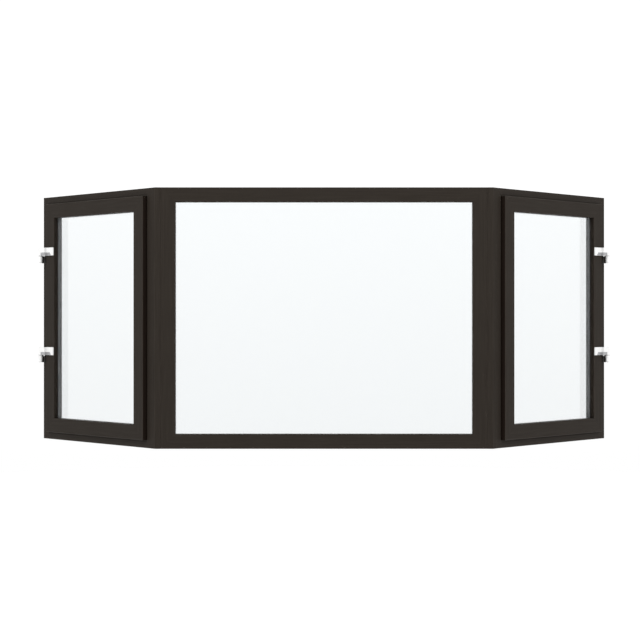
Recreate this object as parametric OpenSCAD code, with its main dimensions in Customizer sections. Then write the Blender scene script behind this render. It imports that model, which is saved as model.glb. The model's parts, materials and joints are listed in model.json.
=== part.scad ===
// Three-light bay window: a fixed front light and, turned back from it on two posts,
// a side light each way with an outward-opening casement, hinged beside the wall.
// +X runs right along the front as seen from outdoors, +Y into the room, +Z up.

/* [Whole window] */
// Height from the bottom of the sill to the top of the head
window_h = 1250; // [950:10:1900]
// Width of the front light over its frame
front_w = 1562; // [900:2:2400]
// Width of each side light over its frame, without the wall strip
side_w = 878; // [620:2:1300]
// Angle by which each side light turns back from the front
bay_angle = 45; // [25:1:60]

/* [Frame profile] */
// Face width of the front frame seen from outdoors
front_face = 70; // [60:1:95]
// Depth of the front frame's lip in front of its glass
front_lip_d = 16; // [12:1:22]
// Width of the side frame's face outside its sash
lip = 38; // [30:1:55]
// How far the side frame's stop reaches in behind the sash
stop_w = 20; // [16:1:26]
// Depth of the stop at the room side
stop_d = 18; // [14:1:22]
// Strip that widens each outer jamb towards the wall
wall_strip = 13; // [0:1:25]
// Open joint between the sash edge and the frame
sash_gap = 6; // [4:0.5:8]

/* [Sash profile] */
// Face width of the sash seen from outdoors
sash_face = 72; // [64:1:95]
// How far the sash stands proud of the frame
sash_proud = 22; // [20:1:26]
// Depth of the sash's lip in front of its glass
sash_lip_d = 22; // [16:1:24]
// Depth of the sash's glazing bead
bead_d = 11; // [8:1:16]

/* [Glass] */
// Thickness of each pane
pane_t = 4; // [4:1:6]
// Space between the two panes
cavity = 16; // [12:1:18]
// Width of the spacer bar along the edge of the glass
spacer_w = 12; // [8:1:14]
// Cover of the glass edge behind the lip
glass_cover = 15; // [12:1:18]
// Clearance from the glass edge to the bottom of its groove
glass_clear = 5; // [3:1:6]
// Thickness of the outdoor glass seal
outer_seal = 4; // [3:0.5:5]
// Thickness of the room-side glass seal
inner_seal = 3; // [2:0.5:4]
// Width of the glass seals
seal_w = 12; // [8:1:13]
// How far a glass seal shows past the frame's edge
seal_show = 2; // [1:0.5:3]
// Width of the weather seal between the sash and the stop
weather_w = 8; // [6:1:10]
// Thickness of the weather seal between the sash and the stop
weather_t = 4; // [3:0.5:6]
// Depth below the frame's face of the seal in the open joint
joint_seal_y = 13; // [8:1:20]

/* [Posts] */
// Width of each post's narrow room-side edge
post_back = 2; // [1:0.5:6]
// Reach of the room-side corner trim along each frame
trim_w = 18; // [14:1:26]
// Thickness of the corner trim
trim_t = 3; // [2:0.5:4]

/* [Hinges] */
// Distance from the bottom of the window to the lower hinge's joint line
hinge_from_bottom = 434; // [150:1:440]
// Distance from the top of the window to the upper hinge's joint line
hinge_from_top = 303; // [150:1:350]
// Height of the sash leaf above the joint line
leaf_h = 41; // [30:1:55]
// Height of the frame block below the joint line
block_h = 38; // [28:1:50]
// Radius of the knuckle
knuckle_r = 10; // [8:0.5:12]
// Distance from the knuckle's axis to the jamb's outer edge
knuckle_in = 19; // [14:1:24]
// Thickness of the sash leaf
leaf_t = 6; // [4:0.5:8]
// Margin that the leaf leaves to the glass side of the stile
leaf_margin = 3; // [2:1:12]
// Gap at the joint line between the leaf and the block
knuckle_gap = 0.6; // [0.3:0.1:0.8]

/* [Handles] */
// Height of the handle's spindle above the sill
handle_z = 640; // [350:5:700]
// Length of the handle's base plate
plate_h = 120; // [90:1:160]
// Clearance on both sides of the handle's base plate, to the stop and to the bead
plate_clear = 3; // [2:0.5:5]
// Length of the lever below the spindle
lever_len = 118; // [90:1:140]
// Stand-off of the lever from the base plate
lever_off = 28; // [24:1:40]

/* [Wall fixings] */
// Radius of each fixing hole through the outer jambs
fix_r = 5; // [3:0.5:6]
// Distance of the end fixings from the top and the bottom
fix_end = 150; // [100:5:300]

/* [Hidden] */
$fn = 48;

profile_brown = [0.20, 0.175, 0.16];
seal_black = [0.06, 0.06, 0.06];
hardware_white = [0.93, 0.93, 0.92];
glass_clear_blue = [0.85, 0.93, 0.95, 0.4];
spacer_grey = [0.55, 0.56, 0.57];

// Depths, each built up from what the profile holds.
glass_t = 2 * pane_t + cavity;
front_glass_y = front_lip_d + outer_seal;
sash_glass_y = sash_lip_d + outer_seal;
sash_d = sash_glass_y + glass_t + inner_seal + bead_d;
sash_back = sash_d - sash_proud;
stop_y = sash_back + weather_t;
frame_d = stop_y + stop_d;

// Plan of the bay: each post fills the wedge between two frames, down to post_back.
half_angle = bay_angle / 2;
post_show = (frame_d * sin(half_angle) + post_back / 2) / cos(half_angle);
corner_x = front_w / 2 + post_show;
side_run = post_show + side_w + wall_strip;
bay_d = side_run * sin(bay_angle) + frame_d * cos(bay_angle);
front_y = -bay_d / 2;

// The sash, between the side frame's lips.
sash_w = side_w - 2 * lip;
sash_h = window_h - 2 * lip;
joint_seal_d = 6;

// Hinges, measured in the side light's own frame.
knuckle_x = side_w + wall_strip - knuckle_in;
knuckle_y = -sash_proud - knuckle_r - 2;
hinge_zs = [hinge_from_bottom, window_h - hinge_from_top];

// ---------------------------------------------------------------- building blocks

// A bar along +X from the origin, its outer edge on z = 0, cut off at 45 degrees at both
// ends. The section lists [depth, distance from the outer edge].
module mitred_bar(length, section, reach, depth_lo, depth_hi) {
    intersection() {
        rotate([90, 0, 90])
            linear_extrude(length)
                polygon(section);
        translate([0, depth_hi, 0])
            rotate([90, 0, 0])
                linear_extrude(depth_hi - depth_lo)
                    polygon([[0, 0], [length, 0], [length - reach, reach], [reach, reach]]);
    }
}

// One of the four bars of a frame of the given width and height.
module frame_bar(which, w, h, section, reach, depth_lo, depth_hi) {
    if (which == "sill")
        mitred_bar(w, section, reach, depth_lo, depth_hi);
    if (which == "head")
        translate([0, 0, h])
            mirror([0, 0, 1])
                mitred_bar(w, section, reach, depth_lo, depth_hi);
    if (which == "left")
        mirror([1, 0, -1])
            mitred_bar(h, section, reach, depth_lo, depth_hi);
    if (which == "right")
        translate([w, 0, 0])
            mirror([1, 0, 0])
                mirror([1, 0, -1])
                    mitred_bar(h, section, reach, depth_lo, depth_hi);
}

// A rectangular ring from one inset to a deeper inset of a frame, between two depths.
module ring(w, h, outer_inset, inner_inset, y0, y1) {
    difference() {
        translate([outer_inset, y0, outer_inset])
            cube([w - 2 * outer_inset, y1 - y0, h - 2 * outer_inset]);
        translate([inner_inset, y0 - 1, inner_inset])
            cube([w - 2 * inner_inset, y1 - y0 + 2, h - 2 * inner_inset]);
    }
}

// Section of a profile that holds glass: a lip outdoors and a groove open to the room.
function glazed_section(face, depth, lip_depth) = [[0, 0], [depth, 0], [depth, groove(face)],
    [lip_depth, groove(face)], [lip_depth, face], [0, face]];
function groove(face) = face - glass_cover - glass_clear;

// Section of a glazing bead, clipped into the groove behind the glass.
function bead_section(face, y0, y1) = [[y0, groove(face)], [y1, groove(face)],
    [y1, face - (y1 - y0) / 2], [y0 + (y1 - y0) / 3, face], [y0, face]];

// Section of the side frame: a face outdoors and a stop in the room behind the sash.
function stop_section() = [[0, 0], [frame_d, 0], [frame_d, lip + stop_w], [stop_y, lip + stop_w],
    [stop_y, lip - sash_gap], [0, lip - sash_gap]];

module glass_unit(w, h, face, y) {
    inset = face - glass_cover;
    for (pane_y = [y, y + pane_t + cavity])
        translate([inset, pane_y, inset])
            cube([w - 2 * inset, pane_t, h - 2 * inset]);
}

module glass_spacer(w, h, face, y) {
    ring(w, h, face - spacer_w, face, y + pane_t, y + pane_t + cavity);
}

module glass_seals(w, h, face, y) {
    inner = face + seal_show;
    ring(w, h, inner - seal_w, inner, y - outer_seal, y);
    ring(w, h, inner - seal_w, inner - 1, y + glass_t, y + glass_t + inner_seal);
}

module bead_frame(w, h, face, y0, y1) {
    for (which = ["sill", "head", "left", "right"])
        frame_bar(which, w, h, bead_section(face, y0, y1), face + 10, y0 - 1, y1 + 1);
}

// ---------------------------------------------------------------- front light

module at_front() {
    translate([-front_w / 2, front_y, 0])
        children();
}

module front_bar(which) {
    color(profile_brown)
        at_front()
            frame_bar(which, front_w, window_h, glazed_section(front_face, frame_d, front_lip_d),
                front_face + 10, -1, frame_d + 1);
}

module front_glass() {
    color(glass_clear_blue)
        at_front()
            glass_unit(front_w, window_h, front_face, front_glass_y);
}

module front_spacer() {
    color(spacer_grey)
        at_front()
            glass_spacer(front_w, window_h, front_face, front_glass_y);
}

module front_beads() {
    color(profile_brown)
        at_front()
            bead_frame(front_w, window_h, front_face, front_glass_y + glass_t + inner_seal, frame_d);
}

module front_seals() {
    color(seal_black)
        at_front()
            glass_seals(front_w, window_h, front_face, front_glass_y);
}

// ---------------------------------------------------------------- posts between the lights

// Everything at a corner or on a side is drawn for the right side and mirrored for the left.
module on_side(side) {
    if (side == "right")
        children();
    else
        mirror([1, 0, 0])
            children();
}

// A point at a distance along the side light's face and a depth behind it, from the corner.
function turned(along, depth) = [along * cos(bay_angle) - depth * sin(bay_angle),
    along * sin(bay_angle) + depth * cos(bay_angle)];

inner_corner = [-frame_d * tan(half_angle), frame_d];

module post(side) {
    color(profile_brown)
        on_side(side)
            translate([corner_x, front_y, 0])
                linear_extrude(window_h)
                    polygon([[-post_show, 0], [0, 0], turned(post_show, 0), turned(post_show, frame_d),
                        inner_corner, [-post_show, frame_d]]);
}

module corner_trim(side) {
    color(profile_brown)
        on_side(side)
            translate([corner_x, front_y, 0])
                linear_extrude(window_h)
                    polygon([
                        inner_corner + [-trim_w, 0],
                        inner_corner,
                        inner_corner + turned(trim_w, 0),
                        inner_corner + turned(trim_w, trim_t),
                        inner_corner + [-trim_t * tan(half_angle), trim_t],
                        inner_corner + [-trim_w, trim_t]]);
}

// ---------------------------------------------------------------- side lights

// The side light's own frame: x along its face from the post, y into the room, z up.
module at_side(side) {
    on_side(side)
        translate([corner_x, front_y, 0])
            rotate([0, 0, bay_angle])
                translate([post_show, 0, 0])
                    children();
}

module side_frame_bar(side, which) {
    color(profile_brown)
        at_side(side)
            frame_bar(which, side_w, window_h, stop_section(), lip + stop_w + 10, -1, frame_d + 1);
}

module wall_jamb(side) {
    color(profile_brown)
        at_side(side)
            difference() {
                union() {
                    frame_bar("right", side_w, window_h, stop_section(), lip + stop_w + 10, -1, frame_d + 1);
                    translate([side_w, 0, 0])
                        cube([wall_strip, frame_d, window_h]);
                }
                for (z = [fix_end, window_h / 2, window_h - fix_end])
                    translate([side_w - lip, frame_d / 2, z])
                        rotate([0, 90, 0])
                            cylinder(r = fix_r, h = lip + wall_strip + 1);
            }
}

module at_sash(side) {
    at_side(side)
        translate([lip, -sash_proud, lip])
            children();
}

module sash_bar(side, which) {
    color(profile_brown)
        at_sash(side)
            frame_bar(which, sash_w, sash_h, glazed_section(sash_face, sash_d, sash_lip_d),
                sash_face + 10, -1, sash_d + 1);
}

module sash_glass(side) {
    color(glass_clear_blue)
        at_sash(side)
            glass_unit(sash_w, sash_h, sash_face, sash_glass_y);
}

module sash_spacer(side) {
    color(spacer_grey)
        at_sash(side)
            glass_spacer(sash_w, sash_h, sash_face, sash_glass_y);
}

module sash_beads(side) {
    color(profile_brown)
        at_sash(side)
            bead_frame(sash_w, sash_h, sash_face, sash_glass_y + glass_t + inner_seal, sash_d);
}

// Glass seals of the sash, and the two weather seals between it and the frame.
module sash_seals(side) {
    color(seal_black) {
        at_sash(side)
            glass_seals(sash_w, sash_h, sash_face, sash_glass_y);
        at_side(side) {
            ring(side_w, window_h, lip - sash_gap, lip, joint_seal_y, joint_seal_y + joint_seal_d);
            ring(side_w, window_h, lip + 4, lip + 4 + weather_w, sash_back, stop_y);
        }
    }
}

// ---------------------------------------------------------------- hinges and handles

// Sash leaf: a flap across the stile, a thick arm that carries the upper knuckle, and the
// pointed tip of the set screw that stands out below the arm.
module hinge_leaves(side) {
    stile_x = side_w - lip;
    leaf_x = stile_x - sash_face + leaf_margin;
    arm_x = stile_x - 16;
    arm_y = knuckle_y - knuckle_r;
    tip_h = 6;
    color(hardware_white)
        at_side(side)
            for (z = hinge_zs)
                translate([0, 0, z + knuckle_gap / 2]) {
                    translate([leaf_x, -sash_proud - leaf_t, 0])
                        cube([stile_x - leaf_x, leaf_t, leaf_h]);
                    translate([arm_x, arm_y, 0])
                        cube([knuckle_x - arm_x, 2 * knuckle_r, leaf_h]);
                    translate([arm_x, arm_y, 0])
                        cube([stile_x - arm_x, -sash_proud - arm_y, leaf_h]);
                    translate([knuckle_x, knuckle_y, 0])
                        cylinder(r = knuckle_r, h = leaf_h);
                    translate([stile_x + 3, knuckle_y, -tip_h])
                        cylinder(r1 = 1, r2 = 4, h = tip_h + 1);
                }
}

// Frame block, screwed to the face of the outer jamb beside the sash.
module hinge_blocks(side) {
    block_x = side_w - lip + sash_gap;
    color(profile_brown)
        at_side(side)
            for (z = hinge_zs)
                translate([block_x, -sash_proud, z - block_h])
                    cube([knuckle_x + 5 - block_x, sash_proud, block_h - knuckle_gap / 2]);
}

// Lower knuckle, on a foot against the frame block.
module hinge_knuckles(side) {
    color(hardware_white)
        at_side(side)
            for (z = hinge_zs)
                translate([knuckle_x, knuckle_y, z - block_h]) {
                    cylinder(r = knuckle_r, h = block_h - knuckle_gap / 2);
                    translate([-knuckle_r * 0.6, 0, 0])
                        cube([knuckle_r * 1.2, -sash_proud - knuckle_y, block_h - knuckle_gap / 2]);
                }
}

// Lever handle on the room side of the closing stile, turned down to the closed position.
module handle(side) {
    plate_w = sash_face - glass_cover - glass_clear - stop_w - 2 * plate_clear;
    plate_t = 10;
    neck_r = 8;
    grip_r = 10;
    grip_t = 12;
    grip_y = plate_t + lever_off;
    color(hardware_white)
        at_side(side)
            translate([lip + stop_w + plate_clear + plate_w / 2, sash_back, handle_z]) {
                translate([-plate_w / 2, 0, -plate_h / 2])
                    cube([plate_w, plate_t, plate_h]);
                rotate([-90, 0, 0])
                    cylinder(r = neck_r, h = grip_y + 1);
                translate([-grip_r, grip_y, -lever_len + grip_r])
                    cube([2 * grip_r, grip_t, lever_len - grip_r]);
                for (z = [0, grip_r - lever_len])
                    translate([0, grip_y, z])
                        rotate([-90, 0, 0])
                            cylinder(r = grip_r, h = grip_t);
            }
}

// ---------------------------------------------------------------- nodes

front_bar("head");  // front_head
front_bar("sill");  // front_sill
front_bar("left");  // front_left_jamb
front_bar("right");  // front_right_jamb
front_glass();
front_spacer();
front_beads();
front_seals();

post("left");  // left_post
corner_trim("left");  // left_corner_trim
side_frame_bar("left", "head");  // left_frame_head
side_frame_bar("left", "sill");  // left_frame_sill
side_frame_bar("left", "left");  // left_post_jamb
wall_jamb("left");  // left_wall_jamb
sash_bar("left", "head");  // left_sash_top_rail
sash_bar("left", "sill");  // left_sash_bottom_rail
sash_bar("left", "left");  // left_sash_closing_stile
sash_bar("left", "right");  // left_sash_hinge_stile
sash_glass("left");  // left_glass
sash_spacer("left");  // left_spacer
sash_beads("left");  // left_beads
sash_seals("left");  // left_seals
hinge_leaves("left");  // left_hinge_leaves
hinge_blocks("left");  // left_hinge_blocks
hinge_knuckles("left");  // left_hinge_knuckles
handle("left");  // left_handle

post("right");  // right_post
corner_trim("right");  // right_corner_trim
side_frame_bar("right", "head");  // right_frame_head
side_frame_bar("right", "sill");  // right_frame_sill
side_frame_bar("right", "left");  // right_post_jamb
wall_jamb("right");  // right_wall_jamb
sash_bar("right", "head");  // right_sash_top_rail
sash_bar("right", "sill");  // right_sash_bottom_rail
sash_bar("right", "left");  // right_sash_closing_stile
sash_bar("right", "right");  // right_sash_hinge_stile
sash_glass("right");  // right_glass
sash_spacer("right");  // right_spacer
sash_beads("right");  // right_beads
sash_seals("right");  // right_seals
hinge_leaves("right");  // right_hinge_leaves
hinge_blocks("right");  // right_hinge_blocks
hinge_knuckles("right");  // right_hinge_knuckles
handle("right");  // right_handle
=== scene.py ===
import json
import math
import bmesh
import bpy
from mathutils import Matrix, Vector


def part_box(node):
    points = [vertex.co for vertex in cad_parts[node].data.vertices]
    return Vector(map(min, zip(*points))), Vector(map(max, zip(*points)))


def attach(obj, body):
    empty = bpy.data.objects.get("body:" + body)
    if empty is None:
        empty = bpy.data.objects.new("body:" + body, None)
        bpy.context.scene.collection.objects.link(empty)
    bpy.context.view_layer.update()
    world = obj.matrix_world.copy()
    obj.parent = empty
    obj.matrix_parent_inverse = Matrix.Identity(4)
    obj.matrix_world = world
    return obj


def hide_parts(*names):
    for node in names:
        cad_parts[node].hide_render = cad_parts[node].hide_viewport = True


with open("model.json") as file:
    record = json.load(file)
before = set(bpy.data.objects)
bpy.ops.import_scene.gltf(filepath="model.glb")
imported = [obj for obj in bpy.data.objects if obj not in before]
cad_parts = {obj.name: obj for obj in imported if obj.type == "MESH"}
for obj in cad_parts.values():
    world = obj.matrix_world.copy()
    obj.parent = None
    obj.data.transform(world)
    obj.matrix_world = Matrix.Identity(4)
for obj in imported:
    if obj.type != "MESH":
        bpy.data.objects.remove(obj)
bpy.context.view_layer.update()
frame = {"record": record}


# ---------------------------------------------------------------- front frame
# Four hollow PVC bars wrapped in dark brown woodgrain foil. They are mitred at 45 degrees and welded,
# and cleaning the weld leaves a fine groove. Grooves round the outside take anchors and fixing clips.
sill_low, sill_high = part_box("front_sill")
front_left = sill_low.x
front_plane = sill_low.y
front_width = sill_high.x - sill_low.x
frame_depth = sill_high.y - sill_low.y
front_face = sill_high.z
window_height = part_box("front_head")[1].z
lip_height = 0.020
front_lip = 0.016
weld_groove = 0.0004
weld_cut = 0.0014


def softened(corners, steps=4):
    """Points (depth, across, edge) round a section whose corners (depth, across, radius) are rounded."""
    points = []
    for index, (depth, across, radius) in enumerate(corners):
        here = Vector((depth, across))
        if radius == 0:
            points.append((depth, across, 0.0))
            continue
        back = (Vector(corners[index - 1][:2]) - here).normalized()
        ahead = (Vector(corners[(index + 1) % len(corners)][:2]) - here).normalized()
        half = back.angle(ahead) / 2
        centre = here + (back + ahead).normalized() * radius / math.sin(half)
        start = here + back * radius / math.tan(half) - centre
        end = here + ahead * radius / math.tan(half) - centre
        for step in range(steps + 1):
            spoke = start.lerp(end, step / steps).normalized() * radius
            points.append((centre.x + spoke.x, centre.y + spoke.y, math.sin(math.pi * step / steps)))
    return points


def shrunk(section, amount):
    """The same outline with every point moved into the material by the amount."""
    flat = [Vector(point[:2]) for point in section]
    count = len(flat)
    area = sum(flat[i - 1].x * flat[i].y - flat[i].x * flat[i - 1].y for i in range(count))
    turn = 1 if area > 0 else -1
    moved = []
    for i, point in enumerate(flat):
        before = (point - flat[i - 1]).normalized()
        after = (flat[(i + 1) % count] - point).normalized()
        inward = Vector((-before.y, before.x)) + Vector((-after.y, after.x))
        reach = max(0.35, 1 + before.dot(after))
        spot = point + inward * turn * amount / reach
        moved.append((spot.x, spot.y, section[i][2]))
    return moved


def sweep(solid, rings, runs, section, second_finish_faces=None):
    """Skins a solid over rings of points. Runs are distances along it, and carry the grain with the girth.
    Faces of the section that bare picks take the piece's second finish."""
    grain = solid.loops.layers.uv.get("grain") or solid.loops.layers.uv.new("grain")
    worn = solid.verts.layers.float.get("edge") or solid.verts.layers.float.new("edge")
    count = len(section)
    girth = [0.0]
    for i in range(count):
        step = Vector(section[(i + 1) % count][:2]) - Vector(section[i][:2])
        girth.append(girth[-1] + step.length)
    rows = []
    for ring in rings:
        row = [solid.verts.new(point) for point in ring]
        for vertex, point in zip(row, section):
            vertex[worn] = point[2]
        rows.append(row)
    for r in range(len(rows) - 1):
        for i in range(count):
            j = (i + 1) % count
            skin = solid.faces.new((rows[r][i], rows[r][j], rows[r + 1][j], rows[r + 1][i]))
            if second_finish_faces and second_finish_faces(*[(section[i][axis] + section[j][axis]) / 2 for axis in (0, 1)]):
                skin.material_index = 1
            spots = ((r, i, i), (r, j, i + 1), (r + 1, j, i + 1), (r + 1, i, i))
            for loop, (row, at, around) in zip(skin.loops, spots):
                loop[grain].uv = (runs[row][at], girth[around])
    for row, at in ((rows[0], 0), (rows[-1], -1)):
        cap = solid.faces.new(row)
        for loop, run, point in zip(cap.loops, runs[at], section):
            loop[grain].uv = (run + point[0] * 0.05, point[1])


def on_run(run, width, height, along, depth, across):
    """A spot on one bar of a mitred frame, by its distance along the bar and in from the frame's edge."""
    if run == "sill":
        return along, depth, across
    if run == "head":
        return along, depth, height - across
    if run == "near":
        return across, depth, along
    return width - across, depth, along


def mitred_bar(
    solid, place, run, width, height, section, groove=weld_groove, cut=weld_cut, gap=0.0, second_finish_faces=None
):
    """One bar of a mitred frame, with the small groove that its welded or butted ends show."""
    length = width if run in ("head", "sill") else height
    sunk = shrunk(section, groove)
    rings, runs = [], []
    for outline, back in ((sunk, gap), (section, gap + cut)):
        spots = [(across + back, depth, across) for depth, across, edge in outline]
        rings.append([place(*on_run(run, width, height, *spot)) for spot in spots])
        runs.append([spot[0] for spot in spots])
    for outline, back in ((section, gap + cut), (sunk, gap)):
        spots = [(length - across - back, depth, across) for depth, across, edge in outline]
        rings.append([place(*on_run(run, width, height, *spot)) for spot in spots])
        runs.append([spot[0] for spot in spots])
    sweep(solid, rings, runs, section, second_finish_faces)


def as_piece(name, solid, *finishes):
    """Turns the solid into a named object with even shading on its flats and its finishes."""
    bmesh.ops.recalc_face_normals(solid, faces=solid.faces)
    for face in solid.faces:
        face.smooth = True
    for edge in solid.edges:
        edge.smooth = edge.calc_face_angle(0.0) < 0.6
    mesh = bpy.data.meshes.new(name)
    solid.to_mesh(mesh)
    solid.free()
    for finish in finishes:
        mesh.materials.append(finish)
    made = bpy.data.objects.new(name, mesh)
    bpy.context.scene.collection.objects.link(made)
    even = made.modifiers.new("even shading", "WEIGHTED_NORMAL")
    even.keep_sharp = True
    return made


def node_in(tree, kind, *wires, settings=None, **named):
    """A shader node with its settings, and its inputs set or wired, by place or by name."""
    made = tree.nodes.new(kind)
    for name, value in (settings or {}).items():
        setattr(made, name, value)
    inputs = [(made.inputs[i], wire) for i, wire in enumerate(wires)]
    inputs += [(made.inputs[name.replace("_", " ")], wire) for name, wire in named.items()]
    for socket, wire in inputs:
        if isinstance(wire, bpy.types.NodeSocket):
            tree.links.new(wire, socket)
        elif wire is not None:
            socket.default_value = wire
    return made


def blend_of(tree, factor, first, second):
    """The colour that lies between two colours by a factor."""
    made = tree.nodes.new("ShaderNodeMix")
    made.data_type = "RGBA"
    for index, wire in ((0, factor), (6, first), (7, second)):
        if isinstance(wire, bpy.types.NodeSocket):
            tree.links.new(wire, made.inputs[index])
        else:
            made.inputs[index].default_value = wire
    return made.outputs[2]


def ranged(tree, wire, before, after):
    """A value moved from one range to another, and held at its ends."""
    made = node_in(tree, "ShaderNodeMapRange", wire, *before, *after)
    return made.outputs[0]


def maths(tree, operation, *wires):
    """The result of one sum on values."""
    return node_in(tree, "ShaderNodeMath", *wires, settings={"operation": operation}).outputs[0]


def new_group(name, inputs, outputs):
    """An empty shader node group with named number, vector or colour sockets."""
    tree = bpy.data.node_groups.new(name, "ShaderNodeTree")
    kinds = {"number": "NodeSocketFloat", "vector": "NodeSocketVector", "colour": "NodeSocketColor"}
    for label, kind in inputs:
        tree.interface.new_socket(label, in_out="INPUT", socket_type=kinds[kind])
    for label, kind in outputs:
        tree.interface.new_socket(label, in_out="OUTPUT", socket_type=kinds[kind])
    return tree, tree.nodes.new("NodeGroupInput"), tree.nodes.new("NodeGroupOutput")


def placed_group(tree, group, **named):
    """A group placed in a material, with its values."""
    made = tree.nodes.new("ShaderNodeGroup")
    made.node_tree = group
    for name, wire in named.items():
        socket = made.inputs[name.replace("_", " ")]
        if isinstance(wire, bpy.types.NodeSocket):
            tree.links.new(wire, socket)
        else:
            socket.default_value = wire
    return made


def new_finish(name):
    """A material with its node tree and its main shader."""
    material = bpy.data.materials.new(name)
    material.use_nodes = True
    tree = material.node_tree
    return material, tree, tree.nodes["Principled BSDF"]


# Woodgrain embossing: long streaks and short pores along the bar, with slow waves between darker bands.
woodgrain, grain_in, grain_out = new_group(
    "woodgrain embossing",
    [("Along", "vector"), ("Streaks per metre", "number"), ("Pores per metre", "number")],
    [("Tone", "number"), ("Height", "number")],
)
wave = node_in(woodgrain, "ShaderNodeTexNoise", grain_in.outputs["Along"], Scale=3.0, Detail=2.0)
sway = maths(woodgrain, "MULTIPLY", wave.outputs[0], 0.03)
parts = node_in(woodgrain, "ShaderNodeSeparateXYZ", grain_in.outputs["Along"])
leaned = maths(woodgrain, "ADD", parts.outputs[1], sway)
long_run = maths(woodgrain, "MULTIPLY", parts.outputs[0], 0.03)
streak_at = node_in(woodgrain, "ShaderNodeCombineXYZ", long_run, leaned, 0.0)
streaks = node_in(
    woodgrain, "ShaderNodeTexNoise", streak_at.outputs[0],
    Scale=grain_in.outputs["Streaks per metre"], Detail=4.0, Roughness=0.6,
)
short_run = maths(woodgrain, "MULTIPLY", parts.outputs[0], 0.06)
pore_at = node_in(woodgrain, "ShaderNodeCombineXYZ", short_run, leaned, 0.37)
pores = node_in(
    woodgrain, "ShaderNodeTexNoise", pore_at.outputs[0],
    Scale=grain_in.outputs["Pores per metre"], Detail=2.0, Roughness=0.5,
)
pore_dip = ranged(woodgrain, pores.outputs[0], (0.52, 0.66), (0.0, 1.0))
tone = ranged(woodgrain, streaks.outputs[0], (0.32, 0.68), (0.0, 1.0))
height = maths(woodgrain, "SUBTRACT", tone, pore_dip)
woodgrain.links.new(tone, grain_out.inputs["Tone"])
woodgrain.links.new(height, grain_out.inputs["Height"])

# Edge wear: rounded edges rub lighter in uneven patches.
edge_wear, wear_in, wear_out = new_group(
    "edge wear", [("Edge", "number"), ("Patches per metre", "number")], [("Mask", "number")]
)
wear_place = node_in(edge_wear, "ShaderNodeTexCoord")
wear_patch = node_in(
    edge_wear, "ShaderNodeTexNoise", wear_place.outputs["Object"],
    Scale=wear_in.outputs["Patches per metre"], Detail=3.0,
)
wear_spread = ranged(edge_wear, wear_patch.outputs[0], (0.35, 0.7), (0.15, 1.0))
wear_mask = node_in(
    edge_wear, "ShaderNodeMath", wear_in.outputs["Edge"], wear_spread,
    settings={"operation": "MULTIPLY", "use_clamp": True},
)
edge_wear.links.new(wear_mask.outputs[0], wear_out.inputs["Mask"])

# Settled dust: a thin uneven film on faces that look up.
dust_film, dust_in, dust_out = new_group(
    "settled dust", [("Thickness", "number")], [("Mask", "number")]
)
dust_facing = node_in(dust_film, "ShaderNodeNewGeometry")
dust_up = node_in(dust_film, "ShaderNodeSeparateXYZ", dust_facing.outputs["Normal"])
dust_level = ranged(dust_film, dust_up.outputs[2], (0.6, 1.0), (0.0, 1.0))
dust_place = node_in(dust_film, "ShaderNodeTexCoord")
dust_cloud = node_in(dust_film, "ShaderNodeTexNoise", dust_place.outputs["Object"], Scale=14.0, Detail=5.0)
dust_mass = maths(dust_film, "MULTIPLY", dust_level, dust_cloud.outputs[0])
dust_mask = node_in(
    dust_film, "ShaderNodeMath", dust_mass, dust_in.outputs["Thickness"],
    settings={"operation": "MULTIPLY", "use_clamp": True},
)
dust_film.links.new(dust_mask.outputs[0], dust_out.inputs["Mask"])


def foil_finish(name, dark, light, shine):
    """Woodgrain foil: two browns by the grain, rubbed edges, a little dust, and embossed pores."""
    material, tree, shader = new_finish(name)
    along = node_in(tree, "ShaderNodeUVMap", settings={"uv_map": "grain"})
    emboss = placed_group(
        tree, woodgrain, Along=along.outputs[0], Streaks_per_metre=150.0, Pores_per_metre=520.0
    )
    edge = node_in(tree, "ShaderNodeAttribute", settings={"attribute_name": "edge"})
    wear = placed_group(tree, edge_wear, Edge=edge.outputs["Fac"], Patches_per_metre=9.0)
    dust = placed_group(tree, dust_film, Thickness=0.10)
    browns = blend_of(tree, emboss.outputs["Tone"], dark, light)
    rubbed_part = maths(tree, "MULTIPLY", wear.outputs["Mask"], 0.45)
    rubbed = blend_of(tree, rubbed_part, browns, (0.055, 0.045, 0.037, 1.0))
    dusty = blend_of(tree, dust.outputs["Mask"], rubbed, (0.30, 0.28, 0.25, 1.0))
    tree.links.new(dusty, shader.inputs["Base Color"])
    gloss = ranged(tree, emboss.outputs["Tone"], (0.0, 1.0), (shine + 0.06, shine - 0.04))
    tree.links.new(gloss, shader.inputs["Roughness"])
    bump = node_in(tree, "ShaderNodeBump", Strength=0.25, Distance=0.0002, Height=emboss.outputs["Height"])
    tree.links.new(bump.outputs[0], shader.inputs["Normal"])
    shader.inputs["Specular IOR Level"].default_value = 0.06
    return material


brown_foil = foil_finish("brown foil", (0.0176, 0.0139, 0.0109, 1.0), (0.0234, 0.0191, 0.0153, 1.0), 0.46)


def speckled_finish(name, grain, fineness, first, second, gloss, relief, sheen=0.5, drawn=None):
    """A plain finish with fine specks, or with streaks along the bar, in colour, gloss and surface."""
    material, tree, shader = new_finish(name)
    if drawn:
        along = node_in(tree, "ShaderNodeUVMap", settings={"uv_map": "grain"}).outputs[0]
        stretch = node_in(tree, "ShaderNodeVectorMath", along, drawn, settings={"operation": "MULTIPLY"})
        place = stretch.outputs[0]
    else:
        place = node_in(tree, "ShaderNodeTexCoord").outputs["Object"]
    speck = node_in(tree, "ShaderNodeTexNoise", place, Scale=grain, Detail=fineness).outputs[0]
    colour = blend_of(tree, speck, first, second)
    tree.links.new(colour, shader.inputs["Base Color"])
    tree.links.new(ranged(tree, speck, (0.3, 0.7), gloss), shader.inputs["Roughness"])
    bump = node_in(tree, "ShaderNodeBump", Strength=relief, Distance=0.0001, Height=speck)
    tree.links.new(bump.outputs[0], shader.inputs["Normal"])
    shader.inputs["Specular IOR Level"].default_value = sheen
    return material, tree, shader, colour


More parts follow.
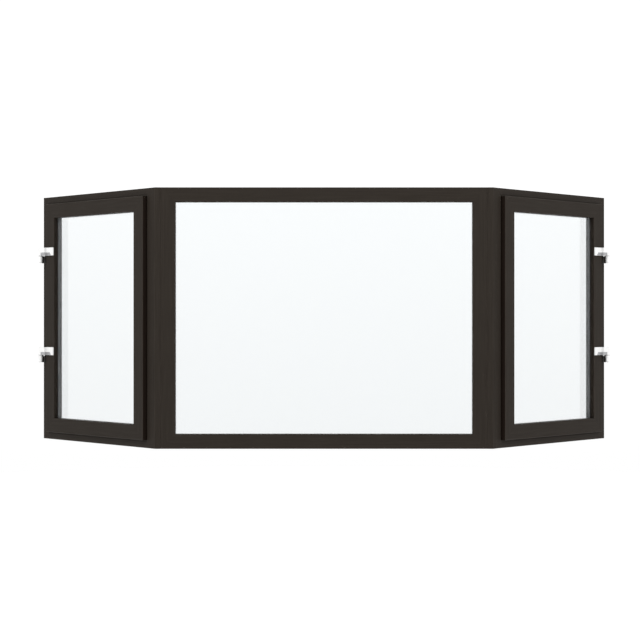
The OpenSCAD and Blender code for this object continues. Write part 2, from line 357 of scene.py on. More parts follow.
# Unfoiled PVC core for the faces that the foil does not cover. Its brown is well below the foil's: painted
# shade where these faces sit in the joint gaps round the sashes and on the outer faces of the frames.
shade_dark_pvc, shade_dark_tree, shade_dark_shader, shade_dark_browns = speckled_finish(
    "PVC core dark as painted shade", 1.0, 3.0,
    (0.0085, 0.0052, 0.0034, 1.0), (0.0125, 0.0082, 0.0058, 1.0), (0.50, 0.62), 0.2,
    sheen=0.08, drawn=(4.0, 260.0, 1.0),
)
shade_dark_dust = placed_group(shade_dark_tree, dust_film, Thickness=0.08)
shade_dark_colour = blend_of(shade_dark_tree, shade_dark_dust.outputs["Mask"], shade_dark_browns, (0.22, 0.20, 0.18, 1.0))
shade_dark_tree.links.new(shade_dark_colour, shade_dark_shader.inputs["Base Color"])


def anchor_grooves(depths, bite=0.002, width=0.004):
    """Section corners of the shallow grooves that run round the outside of a frame."""
    corners = []
    for depth in depths:
        corners.append((depth, 0.0, 0.0003))
        corners.append((depth, bite, 0.0))
        corners.append((depth + width, bite, 0.0))
        corners.append((depth + width, 0.0, 0.0003))
    return corners


front_section = softened(
    [(0.0, 0.0, 0.0020)]
    + anchor_grooves((0.012, 0.048))
    + [
        (frame_depth, 0.0, 0.0015),
        (frame_depth, front_face - lip_height, 0.0005),
        (front_lip, front_face - lip_height, 0.0),
        (front_lip, front_face, 0.0012),
        (0.0, front_face, 0.0022),
    ]
)


def on_front(x, y, z):
    """A spot on the front light, from its outer lower left corner."""
    return Vector((front_left + x, front_plane + y, z))


for run, node in (
    ("head", "front_head"),
    ("sill", "front_sill"),
    ("near", "front_left_jamb"),
    ("far", "front_right_jamb"),
):
    solid = bmesh.new()
    mitred_bar(
        solid, on_front, run, front_width, window_height, front_section,
        # The outer faces take the dark PVC core finish: painted shade on the frame's outside.
        second_finish_faces=lambda depth, across: across < 0.0021 and depth > 0.003,
    )
    piece = as_piece(node.replace("front_", "front_frame_"), solid, brown_foil, shade_dark_pvc)
    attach(piece, "root")
    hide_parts(node)


# ---------------------------------------------------------------- double glazing
# Two sheets of float glass with polished edges, held apart by a hollow aluminium bar filled with
# drying beads. Small holes in the bar let the beads reach the air between the sheets.
pane_thick = 0.004
cavity = 0.016
glass_cover = 0.015
front_glass_y = 0.020
bar_width = 0.012
pane_polish = 0.0006

clear_glass, glass_tree, glass_shader = new_finish("clear glass")
glass_place = node_in(glass_tree, "ShaderNodeTexCoord")
glass_smear = node_in(
    glass_tree, "ShaderNodeTexNoise", glass_place.outputs["Object"], Scale=5.0, Detail=4.0, Distortion=1.2
)
glass_film = ranged(glass_tree, glass_smear.outputs[0], (0.45, 0.75), (0.0, 0.012))
glass_tree.links.new(glass_film, glass_shader.inputs["Roughness"])
glass_shader.inputs["Base Color"].default_value = (0.949, 0.962, 0.966, 1.0)
glass_shader.inputs["IOR"].default_value = 1.52
glass_shader.inputs["Specular IOR Level"].default_value = 0.35
glass_shader.inputs["Transmission Weight"].default_value = 1.0

spacer_metal, spacer_tree, spacer_shader = new_finish("spacer aluminium")
spacer_along = node_in(spacer_tree, "ShaderNodeUVMap", settings={"uv_map": "grain"})
spacer_parts = node_in(spacer_tree, "ShaderNodeSeparateXYZ", spacer_along.outputs[0])
spacer_step = maths(spacer_tree, "PINGPONG", spacer_parts.outputs[0], 0.004)
spacer_mid = maths(spacer_tree, "SUBTRACT", spacer_parts.outputs[1], 0.0240)
spacer_off = maths(spacer_tree, "ABSOLUTE", spacer_mid)
spacer_reach = maths(spacer_tree, "ADD", spacer_step, spacer_off)
# The perforations are near black dots: painted shade inside the holes, with a matching dent in the bump.
spacer_hole_shade = ranged(spacer_tree, spacer_reach, (0.0006, 0.0009), (1.0, 0.0))
spacer_draw = node_in(
    spacer_tree, "ShaderNodeTexNoise", spacer_along.outputs[0], Scale=60.0, Detail=3.0
)
spacer_greys = blend_of(
    spacer_tree, spacer_draw.outputs[0], (0.265, 0.265, 0.267, 1.0), (0.325, 0.325, 0.328, 1.0)
)
spacer_colour = blend_of(spacer_tree, spacer_hole_shade, spacer_greys, (0.010, 0.010, 0.010, 1.0))
spacer_tree.links.new(spacer_colour, spacer_shader.inputs["Base Color"])
spacer_gloss = ranged(spacer_tree, spacer_draw.outputs[0], (0.3, 0.7), (0.42, 0.55))
spacer_tree.links.new(spacer_gloss, spacer_shader.inputs["Roughness"])
spacer_bump = node_in(
    spacer_tree, "ShaderNodeBump", Strength=0.5, Distance=0.0004, Height=spacer_reach
)
spacer_tree.links.new(spacer_bump.outputs[0], spacer_shader.inputs["Normal"])
spacer_shader.inputs["Specular IOR Level"].default_value = 0.3


def glass_sheets(solid, place, width, height, inset, near_face):
    """Both sheets of a unit, each with a small polished chamfer all round."""
    for face in (near_face, near_face + pane_thick + cavity):
        levels = (
            (face, pane_polish),
            (face + pane_polish, 0.0),
            (face + pane_thick - pane_polish, 0.0),
            (face + pane_thick, pane_polish),
        )
        outline = [(0.0, 0.0, 0.0), (1.0, 0.0, 0.0), (1.0, 1.0, 0.0), (0.0, 1.0, 0.0)]
        rings = []
        for depth, back in levels:
            low, wide, tall = inset + back, width - 2 * (inset + back), height - 2 * (inset + back)
            rings.append([place(low + wide * u, depth, low + tall * v) for u, v, edge in outline])
        sweep(solid, rings, [[depth] * 4 for depth, back in levels], outline)


def spacer_section(near_face, inset):
    """The bar's outline between the sheets, with sloped shoulders towards both sheets."""
    start, end = near_face + pane_thick, near_face + pane_thick + cavity
    edge = inset + bar_width
    return softened(
        [
            (start, inset + 0.004, 0.0),
            (start + 0.0035, inset, 0.0005),
            (end - 0.0035, inset, 0.0005),
            (end, inset + 0.004, 0.0),
            (end, edge, 0.0007),
            (start, edge, 0.0007),
        ],
        steps=3,
    )


front_unit_inset = front_face - glass_cover
solid = bmesh.new()
glass_sheets(solid, on_front, front_width, window_height, front_unit_inset, front_glass_y)
piece = as_piece("front_glass_sheets", solid, clear_glass)
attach(piece, "root")
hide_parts("front_glass")

solid = bmesh.new()
for run in ("head", "sill", "near", "far"):
    section = spacer_section(front_glass_y, front_face - bar_width)
    mitred_bar(solid, on_front, run, front_width, window_height, section, groove=0.0001, cut=0.0006)
piece = as_piece("front_spacer_bar", solid, spacer_metal)
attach(piece, "root")
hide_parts("front_spacer")


# ---------------------------------------------------------------- glazing seals
# Black rubber strips pressed between the bars and the glass. The lip that meets the glass is round,
# and the corners are cut and joined at 45 degrees.
outer_seal_thick = 0.004
inner_seal_thick = 0.003

black_rubber, rubber_tree, rubber_shader, rubber_blacks = speckled_finish(
    "black rubber", 900.0, 3.0,
    (0.012, 0.0115, 0.011, 1.0), (0.024, 0.023, 0.022, 1.0), (0.58, 0.74), 0.3, sheen=0.3,
)
rubber_dust = placed_group(rubber_tree, dust_film, Thickness=0.16)
rubber_colour = blend_of(
    rubber_tree, rubber_dust.outputs["Mask"], rubber_blacks, (0.22, 0.21, 0.19, 1.0)
)
rubber_tree.links.new(rubber_colour, rubber_shader.inputs["Base Color"])


def strip_section(near, far, low, high, lip):
    """A rubber strip between two depths, with a round lip on its shown edge."""
    return softened([(near, low, 0.0), (far, low, 0.0), (far, high, lip), (near, high, lip * 0.6)], steps=5)


def glazing_strips(solid, place, width, height, face, glass_y):
    """The outdoor and the room strip of one glass unit."""
    back = glass_y + 2 * pane_thick + cavity
    outdoor = strip_section(glass_y - outer_seal_thick, glass_y, face - 0.010, face + 0.0008, 0.0018)
    room = strip_section(back, back + inner_seal_thick, face - 0.010, face - 0.0042, 0.0014)
    for run in ("head", "sill", "near", "far"):
        mitred_bar(solid, place, run, width, height, outdoor, groove=0.00015, cut=0.0005)
        mitred_bar(solid, place, run, width, height, room, groove=0.00015, cut=0.0005)


solid = bmesh.new()
glazing_strips(solid, on_front, front_width, window_height, front_face, front_glass_y)
piece = as_piece("front_glazing_strips", solid, black_rubber)
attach(piece, "root")
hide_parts("front_seals")


# ---------------------------------------------------------------- glazing beads
# Clip-in PVC beads in the same foil hold each unit from the room side. Their sight edge slopes, and
# they are cut at 45 degrees with a hairline between them.
bead_hair = 0.00025
bead_sight = 0.0052
bead_slope = 0.0108


def bead_section(start, face):
    """Outline of a bead from its start to the room face of the frame."""
    return softened(
        [
            (start, face - lip_height, 0.0),
            (frame_depth, face - lip_height, 0.0006),
            (frame_depth, face - bead_sight - bead_slope, 0.0010),
            (frame_depth - bead_slope + 0.0004, face - bead_sight, 0.0010),
            (start, face - bead_sight, 0.0),
        ]
    )


solid = bmesh.new()
for run in ("head", "sill", "near", "far"):
    section = bead_section(front_glass_y + 2 * pane_thick + cavity + inner_seal_thick, front_face)
    mitred_bar(solid, on_front, run, front_width, window_height, section, cut=0.0006, gap=bead_hair)
piece = as_piece("front_glazing_beads", solid, brown_foil)
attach(piece, "root")
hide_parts("front_beads")


# ---------------------------------------------------------------- corner posts and inner trims
# A hollow foil-wrapped post turns each corner between two frames, screwed to both. On the room side
# a thin folded strip with soft edges clips over the joints.
mounts = {mount["name"]: mount for mount in frame["record"]["mounts"]}
wall_way = mounts["right_wall_face"]["axis"]
bay_turn = math.atan2(wall_way[1], wall_way[0])
turned = Vector((math.cos(bay_turn), math.sin(bay_turn)))
turned_in = Vector((-math.sin(bay_turn), math.cos(bay_turn)))
post_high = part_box("right_post")[1]
post_show = (post_high.x - front_left - front_width) / (1 + turned.x)
corner_x = front_left + front_width + post_show
trim_wing = 0.018
trim_thick = 0.003


def eased(solid, outline, levels, spot):
    """Skins an outline through (level, back) pairs, drawn in by back. Spot places x, y and level."""
    rings, runs = [], []
    for level, back in levels:
        ring = shrunk(outline, back) if back else outline
        rings.append([spot(x, y, level) for x, y, edge in ring])
        runs.append([level] * len(outline))
    sweep(solid, rings, runs, outline)


def upright(solid, outline, side, foot, top, ease):
    """An upright extrusion from an outline in plan, mirrored for the left side, with eased ends."""
    levels = ((foot, ease), (foot + ease, 0.0), (top - ease, 0.0), (top, ease))
    eased(solid, outline, levels, lambda x, y, level: Vector((side * x, y, level)))


inner = Vector((corner_x - frame_depth * math.tan(bay_turn / 2), front_plane + frame_depth))
outer = Vector((corner_x, front_plane))
post_corners = [
    (outer.x - post_show, outer.y, 0.0008),
    (outer.x, outer.y, 0.0030),
    (*(outer + turned * post_show), 0.0008),
    (*(outer + turned * post_show + turned_in * frame_depth), 0.0006),
    (inner.x, inner.y, 0.0),
    (outer.x - post_show, outer.y + frame_depth, 0.0006),
]
trim_corners = [
    (inner.x - trim_wing, inner.y, 0.0),
    (inner.x, inner.y, 0.0),
    (*(inner + turned * trim_wing), 0.0),
    (*(inner + turned * trim_wing + turned_in * trim_thick), 0.0018),
    (inner.x - trim_thick * math.tan(bay_turn / 2), inner.y + trim_thick, 0.0012),
    (inner.x - trim_wing, inner.y + trim_thick, 0.0018),
]
for side, label in ((-1, "left"), (1, "right")):
    low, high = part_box(label + "_post")
    solid = bmesh.new()
    upright(solid, softened(post_corners), side, low.z, high.z, 0.0006)
    piece = as_piece(label + "_corner_post", solid, brown_foil)
    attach(piece, "root")
    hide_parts(label + "_post")
    low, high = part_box(label + "_corner_trim")
    solid = bmesh.new()
    upright(solid, softened(trim_corners), side, low.z, high.z, 0.0005)
    piece = as_piece(label + "_corner_cover", solid, brown_foil)
    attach(piece, "root")
    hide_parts(label + "_corner_trim")


# ---------------------------------------------------------------- side frames
# The same welded bars in a narrower frame on each side, with a stop that the sash closes on. A flat
# strip widens the jamb at the wall, and three bores through both take the wall fixings.
side_low, side_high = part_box("right_frame_sill")
side_start = Vector((side_low.x + frame_depth * turned.y, side_low.y))
side_width = (side_high.x - side_start.x) / turned.x
stop_top = 0.058
stop_start = 0.046
rebate = 0.032
strip_thick = 0.013
strip_ease = 0.0004
bore_radius = 0.005
bore_depth = 0.045
bore_flare = 1.16
flare_deep = 0.0008
bore_heights = [
    mounts[name]["pos_m"][2]
    for name in ("right_lower_fixing", "right_middle_fixing", "right_upper_fixing")
]


def side_outline(outside):
    """A side frame's section: the corners of its outside, then its stop and its rebate."""
    return softened(
        outside
        + [
            (frame_depth, stop_top, 0.0020),
            (stop_start, stop_top, 0.0012),
            (stop_start, rebate, 0.0),
            (0.0, rebate, 0.0020),
        ]
    )


side_section = side_outline(
    [(0.0, 0.0, 0.0016)] + anchor_grooves((0.012, 0.048)) + [(frame_depth, 0.0, 0.0015)]
)
wall_section = side_outline([(0.0, 0.0, 0.0004), (frame_depth, 0.0, 0.0004)])


def on_side(side):
    """Places a spot on a side light, from its outer lower corner at the post."""

    def place(x, y, z):
        spot = side_start + turned * x + turned_in * y
        return Vector((side * spot.x, spot.y, z))

    return place


def drilled(made, place, start, end):
    """Cuts the three fixing bores through a piece, between two distances from the post."""
    drill = bmesh.new()
    for level in bore_heights:
        rings = []
        steps = ((start, 1.0), (end - flare_deep, 1.0), (end, bore_flare), (end + 0.002, bore_flare))
        for reach, wide in steps:
            ring = []
            for step in range(32):
                angle = math.tau * step / 32
                across = frame_depth / 2 + bore_radius * wide * math.cos(angle)
                ring.append(place(reach, across, level + bore_radius * wide * math.sin(angle)))
            rings.append(ring)
        sweep(drill, rings, [[0.0] * 32] * 4, [(math.cos(s / 5), math.sin(s / 5), 0.0) for s in range(32)])
    bmesh.ops.recalc_face_normals(drill, faces=drill.faces)
    shape = bpy.data.meshes.new("drill")
    drill.to_mesh(shape)
    drill.free()
    cutter = bpy.data.objects.new("drill", shape)
    bpy.context.scene.collection.objects.link(cutter)
    made.modifiers.clear()
    bores = made.modifiers.new("bores", "BOOLEAN")
    bores.object = cutter
    bores.solver = "EXACT"
    bpy.context.view_layer.update()
    cut = bpy.data.meshes.new_from_object(made.evaluated_get(bpy.context.evaluated_depsgraph_get()))
    made.modifiers.clear()
    made.data = cut
    bpy.data.objects.remove(cutter)
    even = made.modifiers.new("even shading", "WEIGHTED_NORMAL")
    even.keep_sharp = True


for side, label in ((-1, "left"), (1, "right")):
    place = on_side(side)
    for run, node, title in (
        ("head", "frame_head", "side_frame_head"),
        ("sill", "frame_sill", "side_frame_sill"),
        ("near", "post_jamb", "side_frame_post_jamb"),
        ("far", "wall_jamb", "side_frame_wall_jamb"),
    ):
        solid = bmesh.new()
        section = wall_section if run in ("near", "far") else side_section
        mitred_bar(
            solid, place, run, side_width, window_height, section,
            # The outer faces and the rebate face that the sash closes on take the dark PVC core finish:
            # painted shade in the joint.
            second_finish_faces=lambda depth, across: (across < 0.0021 and depth > 0.003)
            or (depth > 0.003 and abs(across - rebate) < 0.0005),
        )
        piece = as_piece(label + "_" + title, solid, brown_foil, shade_dark_pvc)
        if run == "far":
            drilled(piece, place, side_width - bore_depth + strip_thick, side_width + 0.001)
        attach(piece, "root")
        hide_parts(label + "_" + node)
    strip = softened(
        [
            (0.0, 0.0, 0.0005),
            (frame_depth, 0.0, 0.0005),
            (frame_depth, strip_thick, 0.0012),
            (0.0, strip_thick, 0.0014),
        ]
    )
    solid = bmesh.new()
    top = window_height
    ends = ((0.0, strip_ease), (strip_ease, 0.0), (top - strip_ease, 0.0), (top, strip_ease))
    eased(solid, strip, ends, lambda depth, across, level: place(side_width + across, depth, level))
    piece = as_piece(label + "_wall_strip", solid, brown_foil)
    drilled(piece, place, side_width - 0.002, side_width + strip_thick)
    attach(piece, "root")
    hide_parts(label + "_wall_jamb")


# ---------------------------------------------------------------- casement sashes
# Heavier welded bars make each outward-opening sash. It closes into the side frame, and its face
# stands proud of it with well rounded edges.
frame_lip = 0.038
sash_proud = 0.022
sash_face = 0.072
sash_depth = 0.064
sash_lip = 0.022
sash_width = side_width - 2 * frame_lip
sash_height = window_height - 2 * frame_lip

sash_section = softened(
    [
        (0.0, 0.0, 0.0028),
        (0.026, 0.0, 0.0003),
        (0.026, 0.0012, 0.0),
        (0.031, 0.0012, 0.0),
        (0.031, 0.0, 0.0003),
        (sash_depth, 0.0, 0.0018),
        (sash_depth, sash_face - lip_height, 0.0005),
        (sash_lip, sash_face - lip_height, 0.0),
        (sash_lip, sash_face, 0.0012),
        (0.0, sash_face, 0.0028),
    ]
)


def on_sash(side):
    """Places a spot on a sash, from its outer lower corner beside the post."""
    base = on_side(side)
    return lambda x, y, z: base(frame_lip + x, y - sash_proud, frame_lip + z)


for side, label in ((-1, "left"), (1, "right")):
    for run, node in (
        ("head", "sash_top_rail"),
        ("sill", "sash_bottom_rail"),
        ("near", "sash_closing_stile"),
        ("far", "sash_hinge_stile"),
    ):
        solid = bmesh.new()
        mitred_bar(
            solid, on_sash(side), run, sash_width, sash_height, sash_section,
            # The outer edges of the stiles take the dark PVC core finish: painted shade in the gap beside
            # the sash.
            second_finish_faces=lambda depth, across: across < 0.0013 and depth > 0.0015 and run in ("near", "far"),
        )
        piece = as_piece(label + "_" + node.replace("sash_", "casement_"), solid, brown_foil, shade_dark_pvc)
        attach(piece, "root")
        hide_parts(label + "_" + node)


# ---------------------------------------------------------------- sash glazing and seals
# Each sash holds its own double-glazed unit, with rubber strips and clip-in beads. Two more rubber
# strips close the joint between the sash and the side frame.
sash_glass_y = 0.026

for side, label in ((-1, "left"), (1, "right")):
    place = on_sash(side)
    solid = bmesh.new()
    glass_sheets(solid, place, sash_width, sash_height, sash_face - glass_cover, sash_glass_y)
    piece = as_piece(label + "_glass_sheets", solid, clear_glass)
    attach(piece, "root")
    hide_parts(label + "_glass")

    solid = bmesh.new()
    for run in ("head", "sill", "near", "far"):
        section = spacer_section(sash_glass_y, sash_face - bar_width)
        mitred_bar(solid, place, run, sash_width, sash_height, section, groove=0.0001, cut=0.0006)
    piece = as_piece(label + "_spacer_bar", solid, spacer_metal)
    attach(piece, "root")
    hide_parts(label + "_spacer")

    solid = bmesh.new()
    for run in ("head", "sill", "near", "far"):
        section = bead_section(sash_glass_y + 2 * pane_thick + cavity + inner_seal_thick, sash_face)
        mitred_bar(solid, place, run, sash_width, sash_height, section, cut=0.0006, gap=bead_hair)
    piece = as_piece(label + "_glazing_beads", solid, brown_foil)
    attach(piece, "root")
    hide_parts(label + "_beads")

    solid = bmesh.new()
    glazing_strips(solid, place, sash_width, sash_height, sash_face, sash_glass_y)
    weather = strip_section(0.042, 0.046, 0.042, 0.050, 0.0016)
    for run in ("head", "sill", "near", "far"):
        outdoor_y = 0.0003 if run in ("head", "sill") else 0.0130
        joint = softened(
            [
                (outdoor_y, 0.032, 0.0),
                (outdoor_y + 0.006, 0.032, 0.0),
                (outdoor_y + 0.006, 0.038, 0.0),
                (outdoor_y, 0.038, 0.0008),
            ]
        )
        mitred_bar(
            solid, on_side(side), run, side_width, window_height, weather, groove=0.00015, cut=0.0005
        )
        mitred_bar(
            solid, on_side(side), run, side_width, window_height, joint, groove=0.00015, cut=0.0005,
            second_finish_faces=lambda depth, across: depth < 0.0100,
        )
    piece = as_piece(label + "_rubber_strips", solid, black_rubber, brown_foil)
    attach(piece, "root")
    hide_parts(label + "_seals")


# ---------------------------------------------------------------- hinges
# Two surface hinges on each sash: a white powder-coated leaf with a deep arm, turning on a pin over
# a lower knuckle. The knuckle stands on a dark moulded block screwed to the wall jamb. The sloped
# underside of each arm is grey as painted shade.
hinge_levels = [0.434, window_height - 0.303]
leaf_tall = 0.041
leaf_rest = 0.0003
leaf_thick = 0.006
washer_thick = 0.0010
block_tall = 0.038
block_ribs = (0.0090, 0.0170, 0.0250)
rib_deep = 0.0006
leaf_start = side_width - frame_lip - sash_face + 0.003
stile_end = side_width - frame_lip
arm_start = stile_end - 0.016
pin_x = 0.872
pin_y = -0.034
knuckle_radius = 0.00998
slope_tall = 0.016
slope_deep = 0.0045
slope_start = leaf_start + 0.018
slope_end = pin_x - 0.016
tip_x = stile_end - 0.003

white_coat, coat_tree, coat_shader, coat_whites = speckled_finish(
    "white powder coat", 700.0, 2.0,
    (0.69, 0.69, 0.685, 1.0), (0.74, 0.74, 0.735, 1.0), (0.30, 0.40), 0.2,
)
coat_edge = node_in(coat_tree, "ShaderNodeAttribute", settings={"attribute_name": "edge"})
coat_wear = placed_group(coat_tree, edge_wear, Edge=coat_edge.outputs["Fac"], Patches_per_metre=160.0)
coat_part = maths(coat_tree, "MULTIPLY", coat_wear.outputs["Mask"], 0.22)
coat_colour = blend_of(coat_tree, coat_part, coat_whites, (0.50, 0.50, 0.49, 1.0))
coat_tree.links.new(coat_colour, coat_shader.inputs["Base Color"])

# A mid grey for the sloped underside of each hinge arm: painted shade under the arm.
arm_shade_grey = speckled_finish(
    "grey painted shade", 420.0, 4.0,
    (0.26, 0.26, 0.265, 1.0), (0.34, 0.34, 0.345, 1.0), (0.38, 0.5), 0.3,
)[0]

dark_plastic = speckled_finish(
    "dark moulded plastic", 1100.0, 2.0,
    (0.010, 0.009, 0.008, 1.0), (0.020, 0.018, 0.016, 1.0), (0.48, 0.62), 0.4, sheen=0.3,
)[0]


def turned_part(solid, spot, profile, sides=28):
    """A round part, from (radius, level) pairs. Spot places two distances off the axis and a level."""
    turns = [math.tau * step / sides for step in range(sides)]
    rings = []
    for radius, level in profile:
        rings.append([spot(radius * math.cos(turn), radius * math.sin(turn), level) for turn in turns])
    circle = [(math.cos(turn), math.sin(turn), 0.0) for turn in turns]
    sweep(solid, rings, [[level] * sides for radius, level in profile], circle)


knuckle_turn = []
for step in range(13):
    angle = math.pi * step / 12
    spot = (pin_x + knuckle_radius * math.sin(angle), pin_y - knuckle_radius * math.cos(angle), 0.0)
    knuckle_turn.append(spot)
leaf_front = softened(
    [
        (leaf_start, -sash_proud, 0.0),
        (leaf_start, -sash_proud - leaf_thick, 0.0022),
        (slope_start, -sash_proud - leaf_thick, 0.0),
        (slope_start + 0.008, -sash_proud - leaf_thick, 0.0),
        (arm_start, -sash_proud - leaf_thick, 0.0012),
        (arm_start, pin_y - knuckle_radius, 0.0020),
        (slope_end - 0.004, pin_y - knuckle_radius, 0.0),
        (slope_end, pin_y - knuckle_radius, 0.0),
        (pin_x, pin_y - knuckle_radius, 0.0),
    ]
)[:-1]
leaf_back = [
    (stile_end, pin_y + knuckle_radius, 0.0),
    (stile_end, -sash_proud, 0.0),
]
leaf_outline = leaf_front + knuckle_turn + leaf_back

for side, label in ((-1, "left"), (1, "right")):
    place = on_side(side)
    solid = bmesh.new()
    for joint in hinge_levels:
        foot = joint + leaf_rest
        levels = [
            (0.0, 0.0006, 1.0),
            (0.0006, 0.0, 0.96),
            (slope_tall * 0.5, 0.0, 0.5),
            (slope_tall, 0.0, 0.0),
            (leaf_tall - 0.0016, 0.0, 0.0),
            (leaf_tall - 0.0005, 0.0005, 0.0),
            (leaf_tall, 0.0016, 0.0),
        ]
        rings, runs = [], []
        for level, back, slope in levels:
            ring = shrunk(leaf_outline, back) if back else leaf_outline
            spots = []
            for x, y, edge in ring:
                share = min((x - slope_start) / 0.008, (slope_end - x) / 0.004)
                if y < -sash_proud - 0.004:
                    y += slope_deep * slope * max(0.0, min(1.0, share))
                spots.append(place(x, y, foot + level))
            rings.append(spots)
            runs.append([level] * len(spots))
        sweep(solid, rings, runs, leaf_outline)
        turned_part(
            solid, lambda x, y, level: place(tip_x + x, pin_y + y, level),
            [
                (0.0004, foot - 0.006),
                (0.0012, foot - 0.0057),
                (0.0046, foot + 0.0006),
                (0.0046, foot + 0.002),
            ],
        )
        top = foot + leaf_tall
        turned_part(
            solid, lambda x, y, level: place(pin_x + x, pin_y + y, level),
            [(0.0045, top - 0.002), (0.0045, top + 0.0004), (0.0041, top + 0.0008), (0.0020, top + 0.0010)],
        )
    bmesh.ops.recalc_face_normals(solid, faces=solid.faces)
    for face in solid.faces:
        centre = face.calc_center_median()
        above = min(abs(centre.z - joint - leaf_rest - slope_tall / 2) for joint in hinge_levels)
        along = turned.dot(Vector((side * centre.x, centre.y)) - side_start)
        facing = turned_in.dot(Vector((side * face.normal.x, face.normal.y)))
        sloped = above < slope_tall / 2 and slope_start + 0.004 < along < slope_end
        # Faces on the arm's sloped lower band that turn outwards take the second finish, the grey of painted
        # shade.
        if sloped and facing < 0.3 and abs(face.normal.z) < 0.7:
            face.material_index = 1
    piece = as_piece(label + "_hinge_arms", solid, white_coat, arm_shade_grey)
    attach(piece, "root")
    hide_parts(label + "_hinge_leaves")

    solid = bmesh.new()
    for joint in hinge_levels:
        outline = softened(
            [
                (stile_end + 0.006, -sash_proud, 0.0012),
                (stile_end + 0.006, 0.0, 0.0006),
                (pin_x + 0.005, 0.0, 0.0006),
                (pin_x + 0.005, -sash_proud, 0.0012),
            ]
        )
        foot = joint - block_tall
        levels = [(0.0, 0.0008), (0.0008, 0.0)]
        for rib in block_ribs:
            levels += [(rib, 0.0), (rib + 0.0004, rib_deep), (rib + 0.0016, rib_deep), (rib + 0.0020, 0.0)]
        levels += [(block_tall - leaf_rest - 0.0008, 0.0), (block_tall - leaf_rest, 0.0008)]
        eased(solid, outline, levels, lambda x, y, level: place(x, y, foot + level))
        web = softened(
            [
                (pin_x - 0.006, -sash_proud + 0.002, 0.0),
                (pin_x + 0.006, -sash_proud + 0.002, 0.0),
                (pin_x + 0.006, pin_y + 0.005, 0.0008),
                (pin_x - 0.006, pin_y + 0.005, 0.0008),
            ]
        )
        web_top = block_tall - 0.0030
        levels = ((0.003, 0.0008), (0.0038, 0.0), (web_top - 0.0008, 0.0), (web_top, 0.0008))
        eased(solid, web, levels, lambda x, y, level: place(x, y, foot + level))
        washer = knuckle_radius - 0.0003
        turned_part(
            solid, lambda x, y, level: place(pin_x + x, pin_y + y, level),
            [
                (washer - 0.0003, joint - leaf_rest - washer_thick),
                (washer, joint - leaf_rest - washer_thick + 0.0002),
                (washer, joint + leaf_rest - 0.0002),
                (washer - 0.0003, joint + leaf_rest),
            ],
        )
    piece = as_piece(label + "_hinge_bodies", solid, dark_plastic)
    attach(piece, "root")
    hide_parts(label + "_hinge_blocks")

    solid = bmesh.new()
    for joint in hinge_levels:
        foot = joint - block_tall
        rim = joint - leaf_rest - washer_thick
        profile = [(knuckle_radius - 0.0052, foot), (knuckle_radius - 0.0030, foot + 0.0007)]
        profile += [(knuckle_radius - 0.0014, foot + 0.0018), (knuckle_radius - 0.0004, foot + 0.0036)]
        profile += [(knuckle_radius, foot + 0.0058), (knuckle_radius, rim - 0.0006)]
        profile.append((knuckle_radius - 0.0006, rim))
        turned_part(solid, lambda x, y, level: place(pin_x + x, pin_y + y, level), profile, sides=36)
    piece = as_piece(label + "_hinge_sockets", solid, white_coat)
    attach(piece, "root")
    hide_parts(label + "_hinge_knuckles")


# ---------------------------------------------------------------- handles
# A white lever on each closing stile works the locking gear from the room. A rounded plate hides
# two screws behind small caps, and the lever turns on a collar and hangs down when closed.
plate_wide = 0.026
plate_tall = 0.120
stop_clear = 0.003
handle_x = stop_top + stop_clear + plate_wide / 2
handle_level = 0.640
plate_thick = 0.010
sash_back = sash_depth - sash_proud
cap_spread = 0.046
cap_radius = 0.0046
collar_radius = 0.0100
lever_start = sash_back + plate_thick + 0.028
lever_wide = 0.010
lever_thick = 0.012
lever_foot = handle_level - 0.118
neck_radius = 0.008


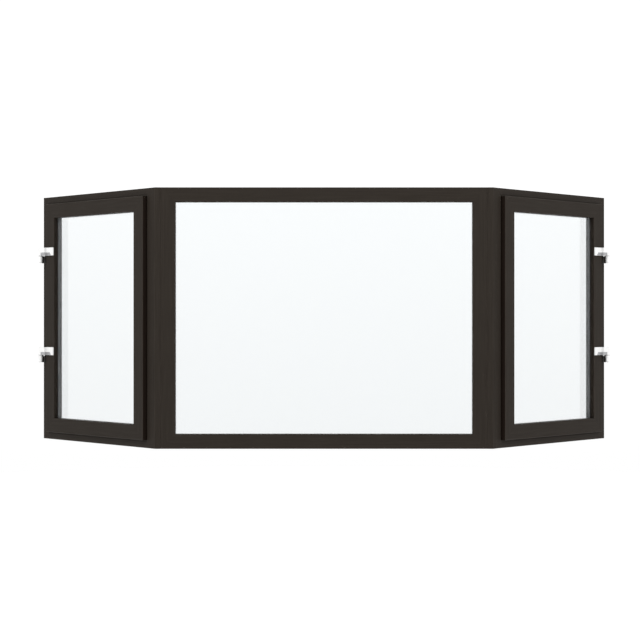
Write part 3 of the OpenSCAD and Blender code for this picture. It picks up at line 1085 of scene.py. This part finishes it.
for side, label in ((-1, "left"), (1, "right")):
    place = on_side(side)
    solid = bmesh.new()
    plate = softened(
        [
            (handle_x - plate_wide / 2, handle_level - plate_tall / 2, 0.008),
            (handle_x + plate_wide / 2, handle_level - plate_tall / 2, 0.008),
            (handle_x + plate_wide / 2, handle_level + plate_tall / 2, 0.008),
            (handle_x - plate_wide / 2, handle_level + plate_tall / 2, 0.008),
        ],
        steps=8,
    )
    plate = [(x, z, 0.0) for x, z, edge in plate]
    levels = ((0.0, 0.0), (0.0060, 0.0), (0.0080, 0.0006), (0.0093, 0.0018), (0.0100, 0.0036))
    eased(solid, plate, levels, lambda x, z, depth: place(x, sash_back + depth, z))
    front = sash_back + plate_thick
    for level in (handle_level - cap_spread, handle_level + cap_spread):
        turned_part(
            solid, lambda x, z, depth: place(handle_x + x, depth, level + z),
            [
                (cap_radius, front - 0.002),
                (cap_radius, front + 0.0002),
                (0.0042, front + 0.0006),
                (0.0020, front + 0.0008),
            ],
            sides=32,
        )
    turned_part(
        solid, lambda x, z, depth: place(handle_x + x, depth, handle_level + z),
        [
            (collar_radius, front - 0.002),
            (collar_radius, front + 0.0030),
            (0.0094, front + 0.0040),
            (neck_radius, front + 0.0044),
            (neck_radius - 0.0010, front + 0.0140),
            (neck_radius, lever_start + 0.001),
            (neck_radius, lever_start + 0.004),
        ],
        sides=32,
    )
    lever_top = handle_level + lever_wide
    stations = []
    for step in range(7):
        stations.append(lever_top - lever_wide * (1 - math.cos(math.pi / 2 * step / 6)))
    for step in range(1, 13):
        stations.append(handle_level - (handle_level - lever_foot - lever_wide) * step / 12)
    for step in range(1, 7):
        stations.append(lever_foot + lever_wide * (1 - math.sin(math.pi / 2 * step / 6)))
    rings, runs = [], []
    shape = softened([(-1.0, -1.0, 0.55), (1.0, -1.0, 0.55), (1.0, 1.0, 0.7), (-1.0, 1.0, 0.7)], steps=5)
    shape = [(u, v, 0.0) for u, v, edge in shape]
    for level in stations:
        above = max(0.0, level - handle_level, lever_foot + lever_wide - level)
        round_end = math.sqrt(max(0.0004, 1 - (above / lever_wide) ** 2))
        share = max(0.0, min(1.0, (handle_level - level) / (handle_level - lever_foot)))
        wide = (lever_wide - 0.0018 * math.sin(math.pi * share)) * round_end
        thick = (lever_thick / 2 - 0.0012 * share) * (0.55 + 0.45 * round_end)
        middle = lever_start + lever_thick / 2 - 0.0008 * share
        rings.append([place(handle_x + wide * u, middle + thick * v, level) for u, v, edge in shape])
        runs.append([level] * len(shape))
    sweep(solid, rings, runs, shape)
    piece = as_piece(label + "_lever_handle", solid, white_coat)
    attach(piece, "root")
    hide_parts(label + "_handle")


# ---------------------------------------------------------------- studio
# A pale floor well below the window, as under a bay on its wall, a white surround that is a little
# brighter overhead, and two large soft lamps above and in front.
floor_drop = 0.9
floor_radius = 8.0

pale_floor, floor_tree, floor_shader = new_finish("pale floor")
floor_place = node_in(floor_tree, "ShaderNodeTexCoord")
floor_speck = node_in(floor_tree, "ShaderNodeTexNoise", floor_place.outputs["Object"], Scale=3.0, Detail=3.0)
floor_whites = blend_of(
    floor_tree, floor_speck.outputs[0], (0.93, 0.93, 0.93, 1.0), (0.97, 0.97, 0.97, 1.0)
)
floor_tree.links.new(floor_whites, floor_shader.inputs["Base Color"])
floor_shader.inputs["Roughness"].default_value = 0.9
floor_shader.inputs["Emission Color"].default_value = (1.0, 1.0, 1.0, 1.0)
floor_shader.inputs["Emission Strength"].default_value = 0.18

ground = bmesh.new()
bmesh.ops.create_circle(ground, cap_ends=True, segments=96, radius=floor_radius)
floor_mesh = bpy.data.meshes.new("studio_floor")
ground.to_mesh(floor_mesh)
ground.free()
floor_mesh.materials.append(pale_floor)
floor = bpy.data.objects.new("studio_floor", floor_mesh)
floor.location = (0.0, 0.0, -floor_drop)
bpy.context.scene.collection.objects.link(floor)

surround = bpy.data.worlds.new("white surround")
bpy.context.scene.world = surround
surround.use_nodes = True
sky_tree = surround.node_tree
sky = sky_tree.nodes["Background"]
sky_place = node_in(sky_tree, "ShaderNodeTexCoord")
sky_parts = node_in(sky_tree, "ShaderNodeSeparateXYZ", sky_place.outputs["Generated"])
sky_light = ranged(sky_tree, sky_parts.outputs[2], (-0.09, 0.09), (1.0, 1.09))
sky_depth = ranged(sky_tree, sky_parts.outputs[1], (0.0, 0.8), (0.90, 1.0))
sky_strength = maths(sky_tree, "MULTIPLY", sky_light, sky_depth)
sky_tree.links.new(sky_strength, sky.inputs["Strength"])
sky.inputs["Color"].default_value = (1.0, 1.0, 1.0, 1.0)

for side in (-1, 1):
    lamp_data = bpy.data.lights.new("soft lamp", "AREA")
    lamp_data.shape = "RECTANGLE"
    lamp_data.size = 2.2
    lamp_data.size_y = 1.2
    lamp_data.energy = 60.0
    lamp = bpy.data.objects.new("soft lamp", lamp_data)
    lamp.location = (side * 2.3, -2.3, 3.1)
    aim = Vector((side * 0.5, 0.0, 0.9)) - lamp.location
    lamp.rotation_euler = aim.to_track_quat("-Z", "Y").to_euler()
    bpy.context.scene.collection.objects.link(lamp)

view_data = bpy.data.cameras.new("front view")
view_data.sensor_width = 36.0
view_data.lens = 86.06
view_data.shift_x = -0.0062
view_data.shift_y = -0.0030
view_data.clip_end = 200.0
view = bpy.data.objects.new("front view", view_data)
view.location = (0.0, front_plane - 7.311, window_height / 2)
view.rotation_euler = (math.pi / 2, 0.0, 0.0)
bpy.context.scene.collection.objects.link(view)
bpy.context.scene.camera = view
bpy.context.scene.view_settings.view_transform = "Standard"
